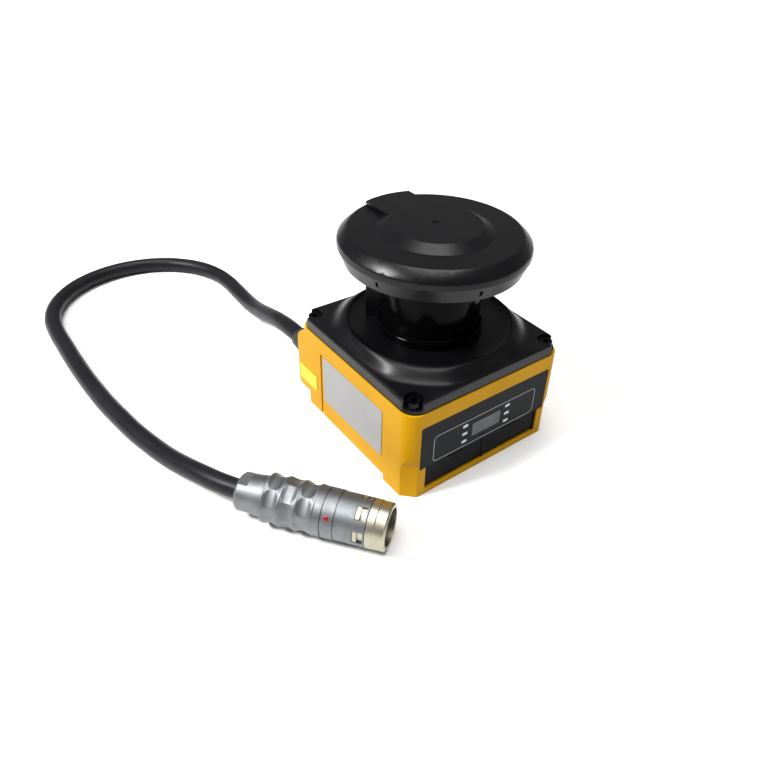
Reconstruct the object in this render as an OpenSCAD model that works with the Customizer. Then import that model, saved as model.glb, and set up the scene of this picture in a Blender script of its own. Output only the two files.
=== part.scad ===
// Compact scanning laser rangefinder: a painted housing with a status panel, a black
// cover with a round dish, an optical window under a wide cap, and a short cable that
// ends in a push-pull plug. Millimetres. The origin is on the floor under the scan
// axis, +Z is up, and the status panel faces -Y.

/* [Housing] */
// Width of the housing, left to right
housing_w = 80; // [66:1:100]
// Depth of the housing, front to back
housing_d = 80; // [78:1:100]
// Height of the painted housing, up to the cover
housing_h = 42; // [40:1:55]
// Thickness of the housing's side and back walls
wall_t = 3; // [2.5:0.1:3.6]
// Thickness of the front wall, which carries the panel
front_wall_t = 4.5; // [4:0.1:5.4]
// Radius of the housing's upright corners
corner_r = 6; // [5:0.5:7]
// How far the cable block stands out at the back
block_reach = 3.2; // [2.6:0.1:4]
// Thickness of the bottom plate
plate_t = 3; // [2.5:0.1:3.6]

/* [Cover and dish] */
// Height of the cover's edge
cover_edge_h = 5.5; // [4.8:0.1:6.6]
// How far the cover stands in from the housing all round
cover_inset = 0.5; // [0.2:0.1:1]
// Radius of the dish at its rim
dish_r = 34.6; // [32:0.2:36]
// Height of the dish's rim above the cover's corners
dish_rise = 4.7; // [4:0.1:5.6]
// Depth of the dish below its rim
dish_depth = 2.6; // [2:0.1:3]

/* [Window and spine] */
// Outer radius of the optical window
window_r = 20.6; // [18.5:0.1:21]
// Wall thickness of the optical window
window_t = 1.8; // [1.5:0.1:2.2]
// Height of the window between the dish and the cap
window_h = 30.2; // [28:0.1:36]
// Outer radius of the spine behind the window
spine_r = 27.5; // [26:0.1:30]
// Angle that the window covers, centred on the front
window_angle = 270; // [240:5:300]

/* [Cap] */
// Radius of the cap at its widest
cap_r = 38.6; // [38:0.1:44]
// Height of the cap
cap_h = 15.2; // [14.8:0.1:18]
// Wall thickness of the cap's shells
cap_t = 1.6; // [1.3:0.1:1.9]
// Radius of the raised disc on the cap
disc_r = 18.6; // [18.4:0.1:22]

/* [Scan motor and mirror] */
// Radius of the motor's shaft
shaft_r = 1.5; // [1.3:0.1:1.8]
// Radius of the spindle bearings
bearing_r = 5; // [4.2:0.1:5.5]
// Radius of the spinning mirror and its carrier
mirror_r = 13; // [11:0.1:14]
// Radius of the receiving lens
lens_r = 15.4; // [12.8:0.1:15.6]

/* [Cable and plug] */
// Diameter of the cable
cable_d = 8; // [6:0.1:9]
// Largest radius of the plug
plug_r = 9.5; // [9:0.1:11]
// Length of the plug
plug_len = 59; // [57:1:70]
// Travel of the plug's release sleeve
sleeve_travel = 2; // [1:0.1:2.4]

/* [Front panel] */
// Width of the status panel
panel_w = 68.4; // [60:0.2:69]
// Height of the status panel
panel_h = 21; // [20:0.1:22]
// Width of the display window
display_w = 15.4; // [12:0.1:18]
// Height of the display window
display_h = 6.6; // [5.6:0.1:8]

/* [Hidden] */

$fn = 48;
e = 0.01;

// Clearances. A seat holds still, a gap is seen, and a running fit turns or slides.
seat_gap = 0.02;
part_gap = 0.15;
run_gap = 0.05;
free_gap = 0.3;

// Housing faces and levels
side_x = housing_w / 2;
front_y = -housing_d / 2;
back_y = housing_d / 2;
block_y = back_y + block_reach;
foot_len = 16;
corner_flat_in = 5;
seam_z = housing_h;

// Cable block at the back: where its side profile starts and how it is rounded
block_top_r = 11.5;
block_top_z = housing_h - 12.5;
block_low_r = 4.5;
block_low_z = 9;
block_root_y = back_y - 12;
block_flat = 5;
block_back_z = [block_low_z + block_low_r, block_top_z];

// Bottom plate
plate_x = side_x - wall_t - 0.1;
plate_back_y = back_y - 9;
plate_edge = 0.1;
ledge_w = 3.5;
ledge_h = 2;
plate_screw_x = side_x - wall_t - 4.5;
plate_screw_y = [front_y + wall_t + 5, plate_back_y - 5];
mount_pitch = 44;
mount_hole_r = 1.5;
mount_boss_r = 4;
mount_boss_h = 4;

// Cover screws in the corners
cover_screw_in = 5;
cover_screw_x = side_x - cover_screw_in;
cover_screw_y = back_y - cover_screw_in;
cover_boss_r = 6.2;
cover_boss_h = 14;
m3_r = 1.5;
m3_head_r = 2.75;
m3_head_h = 2.8;
pocket_r = m3_head_r + 0.95;
pocket_floor = 1.8;
m2_r = 1;
m2_head_r = 1.9;
m2_head_h = 1.4;
m25_r = 1.25;
m25_head_r = 2.2;
m25_head_h = 1.5;

// Cover and dish levels
cover_top_z = seam_z + cover_edge_h;
cover_edge_round = 1.2;
dish_rim_z = cover_top_z + dish_rise;
dish_z = dish_rim_z - dish_depth;
dish_floor_t = 2.4;
dish_floor_r = 29;
shoulder_r = 42;
shoulder_foot = 0.66;
light_hole_r = window_r - window_t - 0.3;

// Window, spine and cap levels
window_top_z = dish_z + window_h;
flange_r = window_r + 1.6;
flange_h = 3.4;
seal_t = 0.8;
spine_half = (360 - window_angle) / 2;
spine_in_r = window_r - window_t;
spine_screw_r = (spine_in_r + spine_r) / 2;
spine_screw_a = [62, 118];
flex_y = spine_screw_r + 0.6;
flex_w = 10;
flex_t = 0.2;
flex_slot = [12, 1.4];
cap_z = window_top_z;
cap_top_z = cap_z + cap_h;
cap_floor_t = 2.5;
cap_floor_z = cap_z + cap_floor_t;
cap_step = 2.3;
cap_bevel = 3.8;
cap_low_r = cap_r - 2.2;
parting_z = cap_z + 6.6;
disc_foot_r = disc_r + 4.8;
tab_half_w = 11;
tab_drop = 0.4;
dimple_r = 1.6;
dimple_depth = 0.4;
cap_screw_r = 31;
cap_slot_turn = 17.5;

// Motor levels, counted from the cap's floor
motor_plate_r = 27;
motor_plate_t = 2;
motor_top_z = cap_floor_z + motor_plate_t;
tube_r = bearing_r + 1.4;
tube_z = cap_z + 0.4;
bearing_h = 4;
tube_top_z = motor_top_z + 6.2;
stator_z = motor_top_z + 1.1;
stator_h = 4;
cup_r = 18;
cup_t = 1.1;
cup_z = motor_top_z + 0.7;
cup_top_z = tube_top_z + 1.5;
magnet_t = 1.6;
stator_r = cup_r - cup_t - magnet_t - 0.4;
teeth = 9;
board_t = 1.2;
disc_z = motor_top_z + 3.1;
encoder_r = 22.3;
carrier_top_z = cap_z - 0.2;
mirror_t = 1.5;
mirror_z = carrier_top_z - mirror_r - 2;

// Boards and optics in the housing
pcb_t = 1.6;
main_z = plate_t + 11;
main_x = side_x - wall_t - 4;
main_y = [front_y + 15, back_y - 13];
post_x = main_x - 3;
post_y = 14;
receiver_z = main_z + pcb_t + 8.4;
receiver_half = 22;
receiver_post = 18;
barrel_z = receiver_z + pcb_t;
barrel_top_z = min(dish_z - 1, mirror_z - mirror_r - 2 * mirror_t - 0.5);
barrel_r = lens_r + 1.6;
lens_z = barrel_top_z - 5.6;
laser_r = 4.4;
laser_z = barrel_z + 8;

// Front panel: the recess in the housing and what lies in it
panel_z = [14.2, 14.2 + panel_h];
port_zone_w = panel_w - 6.2;
port_zone_z = 2.8;
bezel_y = front_y + 0.5;
bezel_t = 1.2;
overlay_t = 0.3;
panel_floor_y = bezel_y + bezel_t;
port_floor_y = front_y + 3.2;
lug_t = 0.9;
display_z = 21.7;
led_x = display_w / 2 + 3.8;
led_z = [for (i = [-1:1]) display_z + 4 * i];
led_w = 2.6;
led_h = 1.3;
pipe_len = 6.6;
front_board_y = front_y + front_wall_t + 3.9;
front_board_x = 27;
front_board_z = [5, 37];
front_post = [24.5, 17, 34];
port_x = 16;
port_z = 8.7;
hinge_y = front_y + 1.8;
hinge_z = port_zone_z + 1.5;
hinge_r = 1.2;
hinge_pin_r = 0.5;
flap_t = 1.8;
flap_w = (port_zone_w - 3 * lug_t) / 2 - 2 * free_gap;
flap_x = (lug_t + free_gap + flap_w / 2) - lug_t / 2;

// Plates stuck to the left side
label_y = [front_y + 17.5, back_y - 19.5];
label_z = [12, 34.8];
label_t = 0.25;
notice_y = [back_y - 13.5, back_y + 0.5];
notice_z = [13, 20.5];
slot_y = back_y - 17.5;
slot_w = 1.2;
slot_z = [plate_t - 1, 35];

// Cable entry at the back
gland_x = -side_x + 10.5;
gland_z = 20;
gland_r = 5.2;
gland_nut_r = 6.4;
gland_nut_len = 4.2;
boot_y = block_y + gland_nut_len;
boot_len = 11.6;
lead_in_y = back_y - 6;
header_y = main_y[1] + 0.4;

// Block cover beside the gland
lid_x = [gland_x + 10.5, side_x - 5];
lid_z = [block_back_z[0] - 1, block_back_z[1] + 0.5];
lid_t = 2;
lid_screw_in = 3;

// Plug: its axis starts at the cable end and lies on the floor
plug_at = [-92.4, -5.6, 9.5];
plug_turn = -53.4;
nut_len = 10.8;
nut_r = plug_r - 2.1;
sleeve_z0 = nut_len + 0.4;
sleeve_len = plug_len - 7.4 - sleeve_z0;
sleeve_r = plug_r - 0.15;
barrel_front_r = plug_r - 0.4;
sleeve_in_r = plug_r - 1.3;
core_r = sleeve_in_r - run_gap;
nose_r = plug_r - 0.6;
nose_z = plug_len - 7.2;
socket_r = core_r - 0.9;
socket_len = 13;
wave_pitch = 6.5;
crest_len = 0.9;
waves = 3;
window_z = plug_len - 12;
window_len = 4;
groove_z = [plug_len - 24.4, plug_len - 19.4];
groove_w = 0.35;
mark_z = plug_len - 21.9;
window_half = 2.6;
mark_angle = 56;

// The cable's centreline, from the boot to the plug, lying on the floor
route = [
    [-29.5, 59, 20], [-29.5, 69, 19.6], [-29.2, 79, 18], [-28.6, 89, 15.2],
    [-27.7, 99, 11.8], [-26.6, 109, 8.4], [-25.6, 119, 5.8], [-24.8, 129, 4.4],
    [-24.2, 141, 4], [-24, 153, 4], [-25.6, 165, 4], [-30.2, 176.3, 4],
    [-37.6, 185.9, 4], [-47.3, 193.3, 4], [-58.5, 197.9, 4], [-70.5, 199.5, 4],
    [-82.5, 197.9, 4], [-93.8, 193.3, 4], [-103.4, 185.9, 4], [-110.8, 176.3, 4],
    [-115.4, 165, 4], [-117, 153, 4], [-117.3, 136.5, 4], [-117.3, 120, 4],
    [-117, 107, 4], [-116.3, 94, 4], [-115.3, 81, 4], [-113.6, 68, 4],
    [-111.6, 55, 4], [-109.2, 43.5, 4.3], [-106.8, 32.5, 5.3], [-104.1, 22, 7],
    [-101, 12.3, 8.6], [-97.3, 3.1, 9.4], [-92.4, -5.6, 9.5]
];
cable_sides = 10;

// Colours, as the finished pieces show them
yellow = "#F2B611";
black = "#1B1B1E";
slate = "#26292C";
steel = "#B9BBBE";
board_green = "#1F5A36";
copper = "#B8703A";

// --- Shapes that repeat ---

// Rectangle from one corner to the other with round corners of radius r
module round_rect(lo, hi, r) {
    translate([lo[0] + r, lo[1]]) square([hi[0] - lo[0] - 2 * r, hi[1] - lo[1]]);
    translate([lo[0], lo[1] + r]) square([hi[0] - lo[0], hi[1] - lo[1] - 2 * r]);
    for (x = [lo[0] + r, hi[0] - r], y = [lo[1] + r, hi[1] - r])
        translate([x, y]) circle(r);
}

// Box from one corner to the other
module box(lo, hi) {
    translate(lo) cube(hi - lo);
}

// Ring with a square section
module ring(outer, inner, z, h) {
    translate([0, 0, z]) difference() {
        cylinder(r = outer, h = h);
        translate([0, 0, -1]) cylinder(r = inner, h = h + 2);
    }
}

// Opening for the flexible board, from one level to another
module flex_opening(low, high) {
    box([-flex_slot[0] / 2, flex_y - flex_slot[1] / 2, low],
        [flex_slot[0] / 2, flex_y + flex_slot[1] / 2, high]);
}

// Cap-head or pan-head screw: the head sits on z = 0 and the shank goes down
module screw(r, len, head_r, head_h) {
    difference() {
        cylinder(r = head_r, h = head_h);
        translate([0, 0, head_h * 0.45]) cylinder(r = r * 0.85, h = head_h, $fn = 6);
    }
    translate([0, 0, -len]) cylinder(r = r, h = len + e);
}

// Points of an arc about a centre, from one angle to another
function arc(c, r, a0, a1, steps) =
    [for (i = [0:steps]) let (a = a0 + (a1 - a0) * i / steps) c + r * [cos(a), sin(a)]];

// --- Housing ---

// Plan of the housing's main body
module housing_plan(inset = 0) {
    round_rect([-side_x + inset, front_y + inset], [side_x - inset, back_y - inset],
               corner_r - min(inset, corner_r - 1));
}

// Side profile of the cable block, in Y and Z
module block_profile() {
    polygon(concat(
        [[block_root_y, block_low_z]],
        arc([block_y - block_low_r, block_low_z + block_low_r], block_low_r, -90, 0, 6),
        arc([block_y - block_top_r, block_top_z], block_top_r, 0, 84, 12),
        [[block_root_y, block_top_z + block_top_r]]
    ));
}

// A profile drawn in Y and Z, drawn out from x0 to x1
module along_x(x0, x1) {
    translate([x0, 0, 0]) rotate([90, 0, 90]) linear_extrude(x1 - x0) children();
}

// A profile drawn in X and Z, drawn out from y0 to y1
module along_y(y0, y1) {
    translate([0, y1, 0]) rotate([90, 0, 0]) linear_extrude(y1 - y0) children();
}

// Seal loop in the top face: it runs along the wall and inside the cover screws
module seal_plan(grow) {
    edge = 0.9 - grow;
    notch_r = 4 - grow;
    difference() {
        square([housing_w - 2 * edge, housing_d - 2 * edge], center = true);
        for (sx = [-1, 1], sy = [-1, 1]) scale([sx, sy]) {
            translate([cover_screw_x, cover_screw_y]) circle(notch_r);
            translate([cover_screw_x - notch_r, cover_screw_y]) square(3 * notch_r);
            translate([cover_screw_x, cover_screw_y - notch_r]) square(3 * notch_r);
        }
    }
}

module seal_band() {
    difference() {
        seal_plan(0);
        seal_plan(-1.2);
    }
}

// Flat on a lower front corner that runs out into the round above it; side is -1 for left
module corner_flat(side) {
    depth = corner_flat_in / sqrt(2);
    translate([side * side_x, front_y, 0]) rotate([0, 0, side * 45 - 90])
        translate([0, 12, 0]) rotate([90, 0, 0]) linear_extrude(24)
            polygon([[-depth, -1], [-depth, 16], [4 - depth, 30], [9, 30], [9, -1]]);
}

module housing_body() {
    difference() {
        linear_extrude(seam_z) housing_plan();
        for (s = [-1, 1]) translate([s * side_x, back_y, -1]) rotate([0, 0, 45])
            translate([-block_flat, -block_flat, 0])
                cube([2 * block_flat, 2 * block_flat, block_low_z + 1]);
    }
    intersection() {
        along_x(-side_x, side_x) block_profile();
        linear_extrude(seam_z)
            round_rect([-side_x, block_root_y - 4], [side_x, block_y], 1.5);
    }
}

// Hollow inside the walls, with a ledge left for the bottom plate
module housing_hollow() {
    inner = wall_t;
    translate([0, 0, plate_t + ledge_h]) linear_extrude(seam_z)
        round_rect([-side_x + inner, front_y + front_wall_t],
                   [side_x - inner, back_y - inner], corner_r - inner + 0.5);
    translate([0, 0, -1]) linear_extrude(plate_t + ledge_h + 2)
        round_rect([-side_x + inner + ledge_w, front_y + front_wall_t + 2],
                   [side_x - inner - ledge_w, plate_back_y - ledge_w], 2);
    // The gland's inner nut needs its room in the block
    box([min(-side_x + wall_t + 1, gland_x - gland_nut_r - 0.1), back_y - 10, block_low_z + 3],
        [side_x - wall_t - 1, block_y - wall_t, block_top_z + 3]);
}

// Space under the housing: the plate's pocket, and the sides cut up behind the feet
module housing_underside() {
    translate([0, 0, -1]) linear_extrude(plate_t + 1)
        round_rect([-plate_x - plate_edge, front_y + wall_t],
                   [plate_x + plate_edge, plate_back_y + plate_edge], 3);
    box([-side_x - 1, front_y + foot_len, -1], [side_x + 1, block_y + 1, plate_t]);
}

module housing_bosses() {
    intersection() {
        linear_extrude(seam_z) housing_plan(0.5);
        union() {
            for (x = [-1, 1] * cover_screw_x, y = [-1, 1] * cover_screw_y)
                translate([x, y, seam_z - cover_boss_h])
                    cylinder(r = cover_boss_r, h = cover_boss_h);
            for (x = [-1, 1] * plate_screw_x, y = plate_screw_y)
                translate([x, y, plate_t]) cylinder(r = 3.4, h = 8);
            for (x = [-1, 1] * front_post[0], z = [front_post[1], front_post[2]])
                translate([x, front_board_y, z]) rotate([90, 0, 0])
                    cylinder(r = 2.4, h = front_board_y - front_y - front_wall_t + 1);
        }
    }
}

module panel_recess() {
    gap = part_gap;
    along_y(front_y - 1, panel_floor_y)
        round_rect([-panel_w / 2 - gap, panel_z[0]], [panel_w / 2 + gap, panel_z[1] + gap], 0.8);
    box([-port_zone_w / 2 - gap, front_y - 1, port_zone_z],
        [port_zone_w / 2 + gap, port_floor_y, panel_z[0] + 1]);
    box([-led_x - 4, front_y, led_z[0] - 2.4],
        [led_x + 4, front_y + front_wall_t + 1, led_z[2] + 2.4]);
    for (s = [-1, 1])
        box([s * port_x - 8, front_y, port_z - 3.6],
            [s * port_x + 8, front_y + front_wall_t + 1, port_z + 3.6]);
}

module lid_opening(grow) {
    along_y(block_y - lid_t, block_y + 1)
        round_rect([lid_x[0] - grow, lid_z[0] - grow], [lid_x[1] + grow, lid_z[1] + grow], 1.5);
}

module housing() {
    color(yellow) difference() {
        union() {
            difference() {
                housing_body();
                housing_hollow();
            }
            housing_bosses();
        }
        housing_underside();
        corner_flat(1);
        corner_flat(-1);
        panel_recess();
        translate([0, 0, seam_z - seal_t]) linear_extrude(seal_t + 1) seal_band();
        for (x = [-1, 1] * cover_screw_x, y = [-1, 1] * cover_screw_y)
            translate([x, y, seam_z - 12]) cylinder(r = m3_r + seat_gap, h = 20);
        for (x = [-1, 1] * plate_screw_x, y = plate_screw_y)
            translate([x, y, -1]) cylinder(r = m3_r + seat_gap, h = plate_t + 8);
        for (x = [-1, 1] * front_post[0], z = [front_post[1], front_post[2]])
            translate([x, front_board_y + 1, z]) rotate([90, 0, 0])
                cylinder(r = m2_r + seat_gap, h = 6);
        box([-side_x - 1, slot_y - slot_w / 2, slot_z[0]], [-side_x + 0.7, slot_y + slot_w / 2, slot_z[1]]);
        translate([gland_x, block_y + 1, gland_z]) rotate([90, 0, 0])
            cylinder(r = gland_r + seat_gap, h = wall_t + 4);
        lid_opening(part_gap);
        box([lid_x[0] + 6, block_y - 6, lid_z[0] + 3], [lid_x[1] - 6, block_y, lid_z[1] - 3]);
        for (x = [lid_x[0] + lid_screw_in, lid_x[1] - lid_screw_in],
             z = [lid_z[0] + lid_screw_in, lid_z[1] - lid_screw_in])
            translate([x, block_y, z]) rotate([90, 0, 0]) cylinder(r = m2_r + seat_gap, h = 4.4);
    }
}

module base_plate() {
    color("#8E9194") difference() {
        union() {
            linear_extrude(plate_t)
                round_rect([-plate_x, front_y + wall_t + plate_edge], [plate_x, plate_back_y], 2.9);
            for (x = [-1, 1] * mount_pitch / 2, y = [-1, 1] * mount_pitch / 2)
                translate([x, y, 0]) cylinder(r = mount_boss_r, h = plate_t + mount_boss_h);
        }
        for (x = [-1, 1] * mount_pitch / 2, y = [-1, 1] * mount_pitch / 2)
            translate([x, y, -1]) cylinder(r = mount_hole_r, h = plate_t + mount_boss_h - 0.5);
        for (x = [-1, 1] * plate_screw_x, y = plate_screw_y) translate([x, y, 0]) {
            translate([0, 0, -1]) cylinder(r = m3_r + part_gap, h = plate_t + 2);
            translate([0, 0, -e]) cylinder(r1 = 3.05, r2 = m3_r + part_gap, h = 1.5);
        }
        translate([0, 0, plate_t - 0.5]) linear_extrude(1) base_seal_band();
    }
}

module base_seal_band() {
    mid = ledge_w / 2 + 0.3;
    lo = [-plate_x + mid - 0.6, front_y + wall_t + mid];
    hi = [plate_x - mid + 0.6, plate_back_y - mid + 0.6];
    difference() {
        round_rect(lo, hi, 2.4);
        round_rect(lo + [1.2, 1.2], hi - [1.2, 1.2], 1.2);
    }
}

module base_seal() {
    color("#202022") translate([0, 0, plate_t - 0.5]) linear_extrude(0.5) base_seal_band();
}

module base_plate_screws() {
    color(steel) for (x = [-1, 1] * plate_screw_x, y = plate_screw_y) translate([x, y, 0]) {
        difference() {
            cylinder(r1 = 2.9, r2 = m3_r, h = 1.45);
            translate([0, 0, -1]) cylinder(r = 1, h = 1.8, $fn = 6);
        }
        translate([0, 0, 1.4]) cylinder(r = m3_r, h = plate_t + 4);
    }
}

module cable_block_cover() {
    color(yellow) difference() {
        intersection() {
            lid_opening(0);
            box([-side_x, 0, 0], [side_x, block_y, seam_z]);
        }
        for (x = [lid_x[0] + lid_screw_in, lid_x[1] - lid_screw_in],
             z = [lid_z[0] + lid_screw_in, lid_z[1] - lid_screw_in])
            translate([x, block_y + 1, z]) rotate([90, 0, 0]) cylinder(r = m2_r + part_gap, h = 4);
    }
}

module cable_block_screws() {
    color(steel) for (x = [lid_x[0] + lid_screw_in, lid_x[1] - lid_screw_in],
                      z = [lid_z[0] + lid_screw_in, lid_z[1] - lid_screw_in])
        translate([x, block_y, z]) rotate([-90, 0, 0]) screw(m2_r, lid_t + 2, m2_head_r, 1);
}

// --- Cover, dish and their screws ---

// Height of the cover's upper surface at a distance from the scan axis
function shoulder_z(r) =
    cover_top_z + dish_rise * (0.5 + 0.5 * cos(180 * (r - dish_r) / (shoulder_r - dish_r)));

module cover_plan(inset) {
    round_rect([-side_x + inset, front_y + inset], [side_x - inset, back_y - inset],
               corner_r + 1.2 - inset);
}

module top_cover() {
    color(black) difference() {
        union() {
            for (i = [0:3]) translate([0, 0, seam_z])
                linear_extrude(cover_edge_h - cover_edge_round * (1 - sin(30 * i)))
                    cover_plan(cover_inset + cover_edge_round * (1 - cos(30 * i)) * 0.8);
            intersection() {
                rotate_extrude($fn = 96) polygon(concat(
                    [[0, seam_z], [shoulder_r, seam_z]],
                    [for (i = [0:8]) let (r = shoulder_r + (dish_r - shoulder_r) * i / 8)
                        [r, shoulder_z(r)]],
                    [[0, dish_rim_z]]));
                linear_extrude(dish_rim_z + 1) cover_plan(cover_inset + cover_edge_round * 0.8);
            }
        }
        // The dish
        rotate_extrude($fn = 96) polygon(concat(
            [[0, dish_z], [dish_floor_r, dish_z]],
            [for (i = [1:6]) let (a = 90 * i / 6)
                [dish_floor_r + (dish_r - dish_floor_r) * sin(a),
                 dish_z + dish_depth * (1 - cos(a))]],
            [[dish_r, dish_rim_z + 1], [0, dish_rim_z + 1]]));
        // The shoulder falls to a level edge on each of the four sides
        for (k = [0:3]) let (foot = (k % 2 == 0 ? side_x : back_y) - cover_inset - shoulder_foot)
            rotate([0, 0, 90 * k]) translate([foot, 0, cover_top_z])
                rotate([0, -atan(max(0, foot - dish_r - 0.15) / dish_rise), 0])
                    translate([0, -housing_w, 0]) cube([20, 2 * housing_w, 20]);
        // Light path, hollow underside, slot for the flexible board and spine screws
        cylinder(r = light_hole_r, h = dish_rim_z);
        cylinder(r = shoulder_r - 6, h = cover_top_z - 2.6);
        cylinder(r = dish_r - 0.8, h = dish_z - dish_floor_t);
        flex_opening(seam_z, dish_rim_z);
        for (a = spine_screw_a) rotate([0, 0, a]) translate([spine_screw_r, 0, 0])
            cylinder(r = m25_r + part_gap, h = dish_rim_z);
        // Seat of the lower window seal
        ring(window_r + 0.8, window_r - 1, dish_z - seal_t, seal_t + 1);
        // Corner pockets, open toward the corner
        for (sx = [-1, 1], sy = [-1, 1]) translate([sx * cover_screw_x, sy * cover_screw_y, 0]) {
            translate([0, 0, seam_z + pocket_floor]) cylinder(r = pocket_r, h = 20);
            translate([0, 0, seam_z + pocket_floor]) rotate([0, 0, atan2(sy, sx)])
                translate([0, 0.1 - pocket_r, 0]) cube([12, 2 * pocket_r - 0.2, 20]);
            cylinder(r = m3_r + part_gap, h = seam_z + 6);
        }
    }
}

module cover_seal() {
    color("#202022") translate([0, 0, seam_z - seal_t]) linear_extrude(seal_t) seal_band();
}

module cover_screws() {
    color("#2A2A2D") for (x = [-1, 1] * cover_screw_x, y = [-1, 1] * cover_screw_y)
        translate([x, y, seam_z + pocket_floor]) screw(m3_r, 12, m3_head_r, m3_head_h);
}

// --- Status panel on the front ---

module bezel_outline() {
    round_rect([-panel_w / 2, panel_z[0]], [panel_w / 2, panel_z[1]], 0.7);
}

module indicator_holes(grow) {
    for (s = [-1, 1], z = led_z) translate([s * led_x, z])
        square([led_w + 2 * grow, led_h + 2 * grow], center = true);
}

module display_hole(grow) {
    translate([0, display_z]) square([display_w + 2 * grow, display_h + 2 * grow], center = true);
}

// Moulded plate with three lugs below it that carry the port covers' pins
module front_bezel() {
    color(slate) difference() {
        union() {
            along_y(bezel_y, panel_floor_y) bezel_outline();
            for (x = [-port_zone_w / 2, -lug_t / 2, port_zone_w / 2 - lug_t])
                box([x, bezel_y, port_zone_z + 0.2], [x + lug_t, port_floor_y, panel_z[0] + e]);
        }
        along_y(bezel_y - 1, bezel_y + 0.8) display_hole(0.1);
        along_y(bezel_y - 1, panel_floor_y + 1) display_hole(-0.9);
        along_y(bezel_y - 1, panel_floor_y + 1) indicator_holes(0.1);
        translate([-side_x, hinge_y, hinge_z]) rotate([0, 90, 0])
            cylinder(r = hinge_pin_r + seat_gap, h = housing_w);
    }
}

module panel_overlay() {
    color("#1E2123") difference() {
        along_y(bezel_y - overlay_t, bezel_y) bezel_outline();
        along_y(bezel_y - 1, bezel_y + 1) {
            display_hole(0.1);
            indicator_holes(0.1);
        }
    }
}

module display_window() {
    color("#B9C0C6", 0.6) along_y(bezel_y - overlay_t, bezel_y + 0.8) display_hole(0);
}

module display_module() {
    color("#3A3D40") box([-display_w / 2 + 0.2, panel_floor_y + 0.1, display_z - display_h / 2 - 0.4],
                         [display_w / 2 - 0.2, front_board_y, display_z + display_h / 2 + 0.4]);
}

module indicator_light_pipes() {
    color("#F1F3F5") along_y(bezel_y - overlay_t - 0.05, bezel_y - overlay_t + pipe_len)
        indicator_holes(0);
}

module status_leds() {
    color("#E8E4C8") along_y(front_board_y - 0.8, front_board_y)
        for (s = [-1, 1], z = led_z) translate([s * led_x, z]) square([2, 1.2], center = true);
}

module front_board() {
    color(board_green) difference() {
        box([-front_board_x, front_board_y, front_board_z[0]],
            [front_board_x, front_board_y + pcb_t, front_board_z[1]]);
        for (x = [-1, 1] * front_post[0], z = [front_post[1], front_post[2]])
            translate([x, front_board_y + 3, z]) rotate([90, 0, 0]) cylinder(r = m2_r + part_gap, h = 5);
    }
}

module front_board_screws() {
    color(steel) for (x = [-1, 1] * front_post[0], z = [front_post[1], front_post[2]])
        translate([x, front_board_y + pcb_t, z]) rotate([-90, 0, 0]) screw(m2_r, 6, m2_head_r, m2_head_h);
}

// Small data socket behind the left cover
module config_port() {
    front = front_y + 2.8;
    color(steel) difference() {
        box([-port_x - 3.85, front, port_z - 1.95], [-port_x + 3.85, front_board_y, port_z + 1.95]);
        box([-port_x - 3.45, front - 1, port_z - 1.55], [-port_x + 3.45, front_board_y - 1, port_z + 1.55]);
    }
    color(black) box([-port_x - 2.6, front + 0.8, port_z - 0.2], [-port_x + 2.6, front_board_y - 1 + e, port_z + 0.7]);
}

// Four-pin header behind the right cover
module service_port() {
    front = front_y + 2.8;
    color("#E9E6DC") difference() {
        box([port_x - 5.5, front, port_z - 2.6], [port_x + 5.5, front_board_y, port_z + 2.6]);
        box([port_x - 4.8, front - 1, port_z - 1.9], [port_x + 4.8, front_board_y - 1.2, port_z + 1.9]);
    }
    color("#C9A227") for (i = [-1.5:1.5])
        box([port_x + 2 * i - 0.3, front + 1, port_z - 0.3], [port_x + 2 * i + 0.3, front_board_y - 1.2 + e, port_z + 0.3]);
}

// Flap with a barrel along its lower edge; side is -1 for the left one
module port_cover(side) {
    mid = side * flap_x;
    top_z = panel_z[0] - free_gap;
    color(black) difference() {
        union() {
            box([mid - flap_w / 2, hinge_y - 1.1, hinge_z],
                [mid + flap_w / 2, hinge_y + flap_t - 1.1, top_z]);
            translate([mid - flap_w / 2, hinge_y, hinge_z]) rotate([0, 90, 0])
                cylinder(r = hinge_r, h = flap_w);
        }
        translate([mid - side_x, hinge_y, hinge_z]) rotate([0, 90, 0])
            cylinder(r = hinge_pin_r + run_gap, h = housing_w);
        // Finger notch in the top edge
        box([mid - 4, hinge_y - 2, top_z - 0.9], [mid + 4, hinge_y - 0.5, top_z + 1]);
    }
}

module port_cover_left() {
    port_cover(-1);
}

module port_cover_right() {
    port_cover(1);
}

module port_hinge_pins() {
    pin_len = port_zone_w / 2 - 0.15;
    color(steel) for (s = [-1, 1]) translate([s * (pin_len / 2 + 0.05), hinge_y, hinge_z])
        rotate([0, 90, 0]) cylinder(r = hinge_pin_r, h = pin_len, center = true);
}

// --- Plates on the left side ---

module rating_plate() {
    color("#D8D9DE") box([-side_x - label_t, label_y[0], label_z[0]], [-side_x, label_y[1], label_z[1]]);
}

module notice_plate() {
    color("#F5E21B") box([-side_x - label_t, notice_y[0], notice_z[0]], [-side_x, notice_y[1], notice_z[1]]);
}

// --- Window, spine and cap ---

module sector(r, half, z, h) {
    translate([0, 0, z]) linear_extrude(h) polygon([
        [0, 0], [r * 2 * sin(half), r * 2 * cos(half)], [0, r * 4], [-r * 2 * sin(half), r * 2 * cos(half)]]);
}

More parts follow.
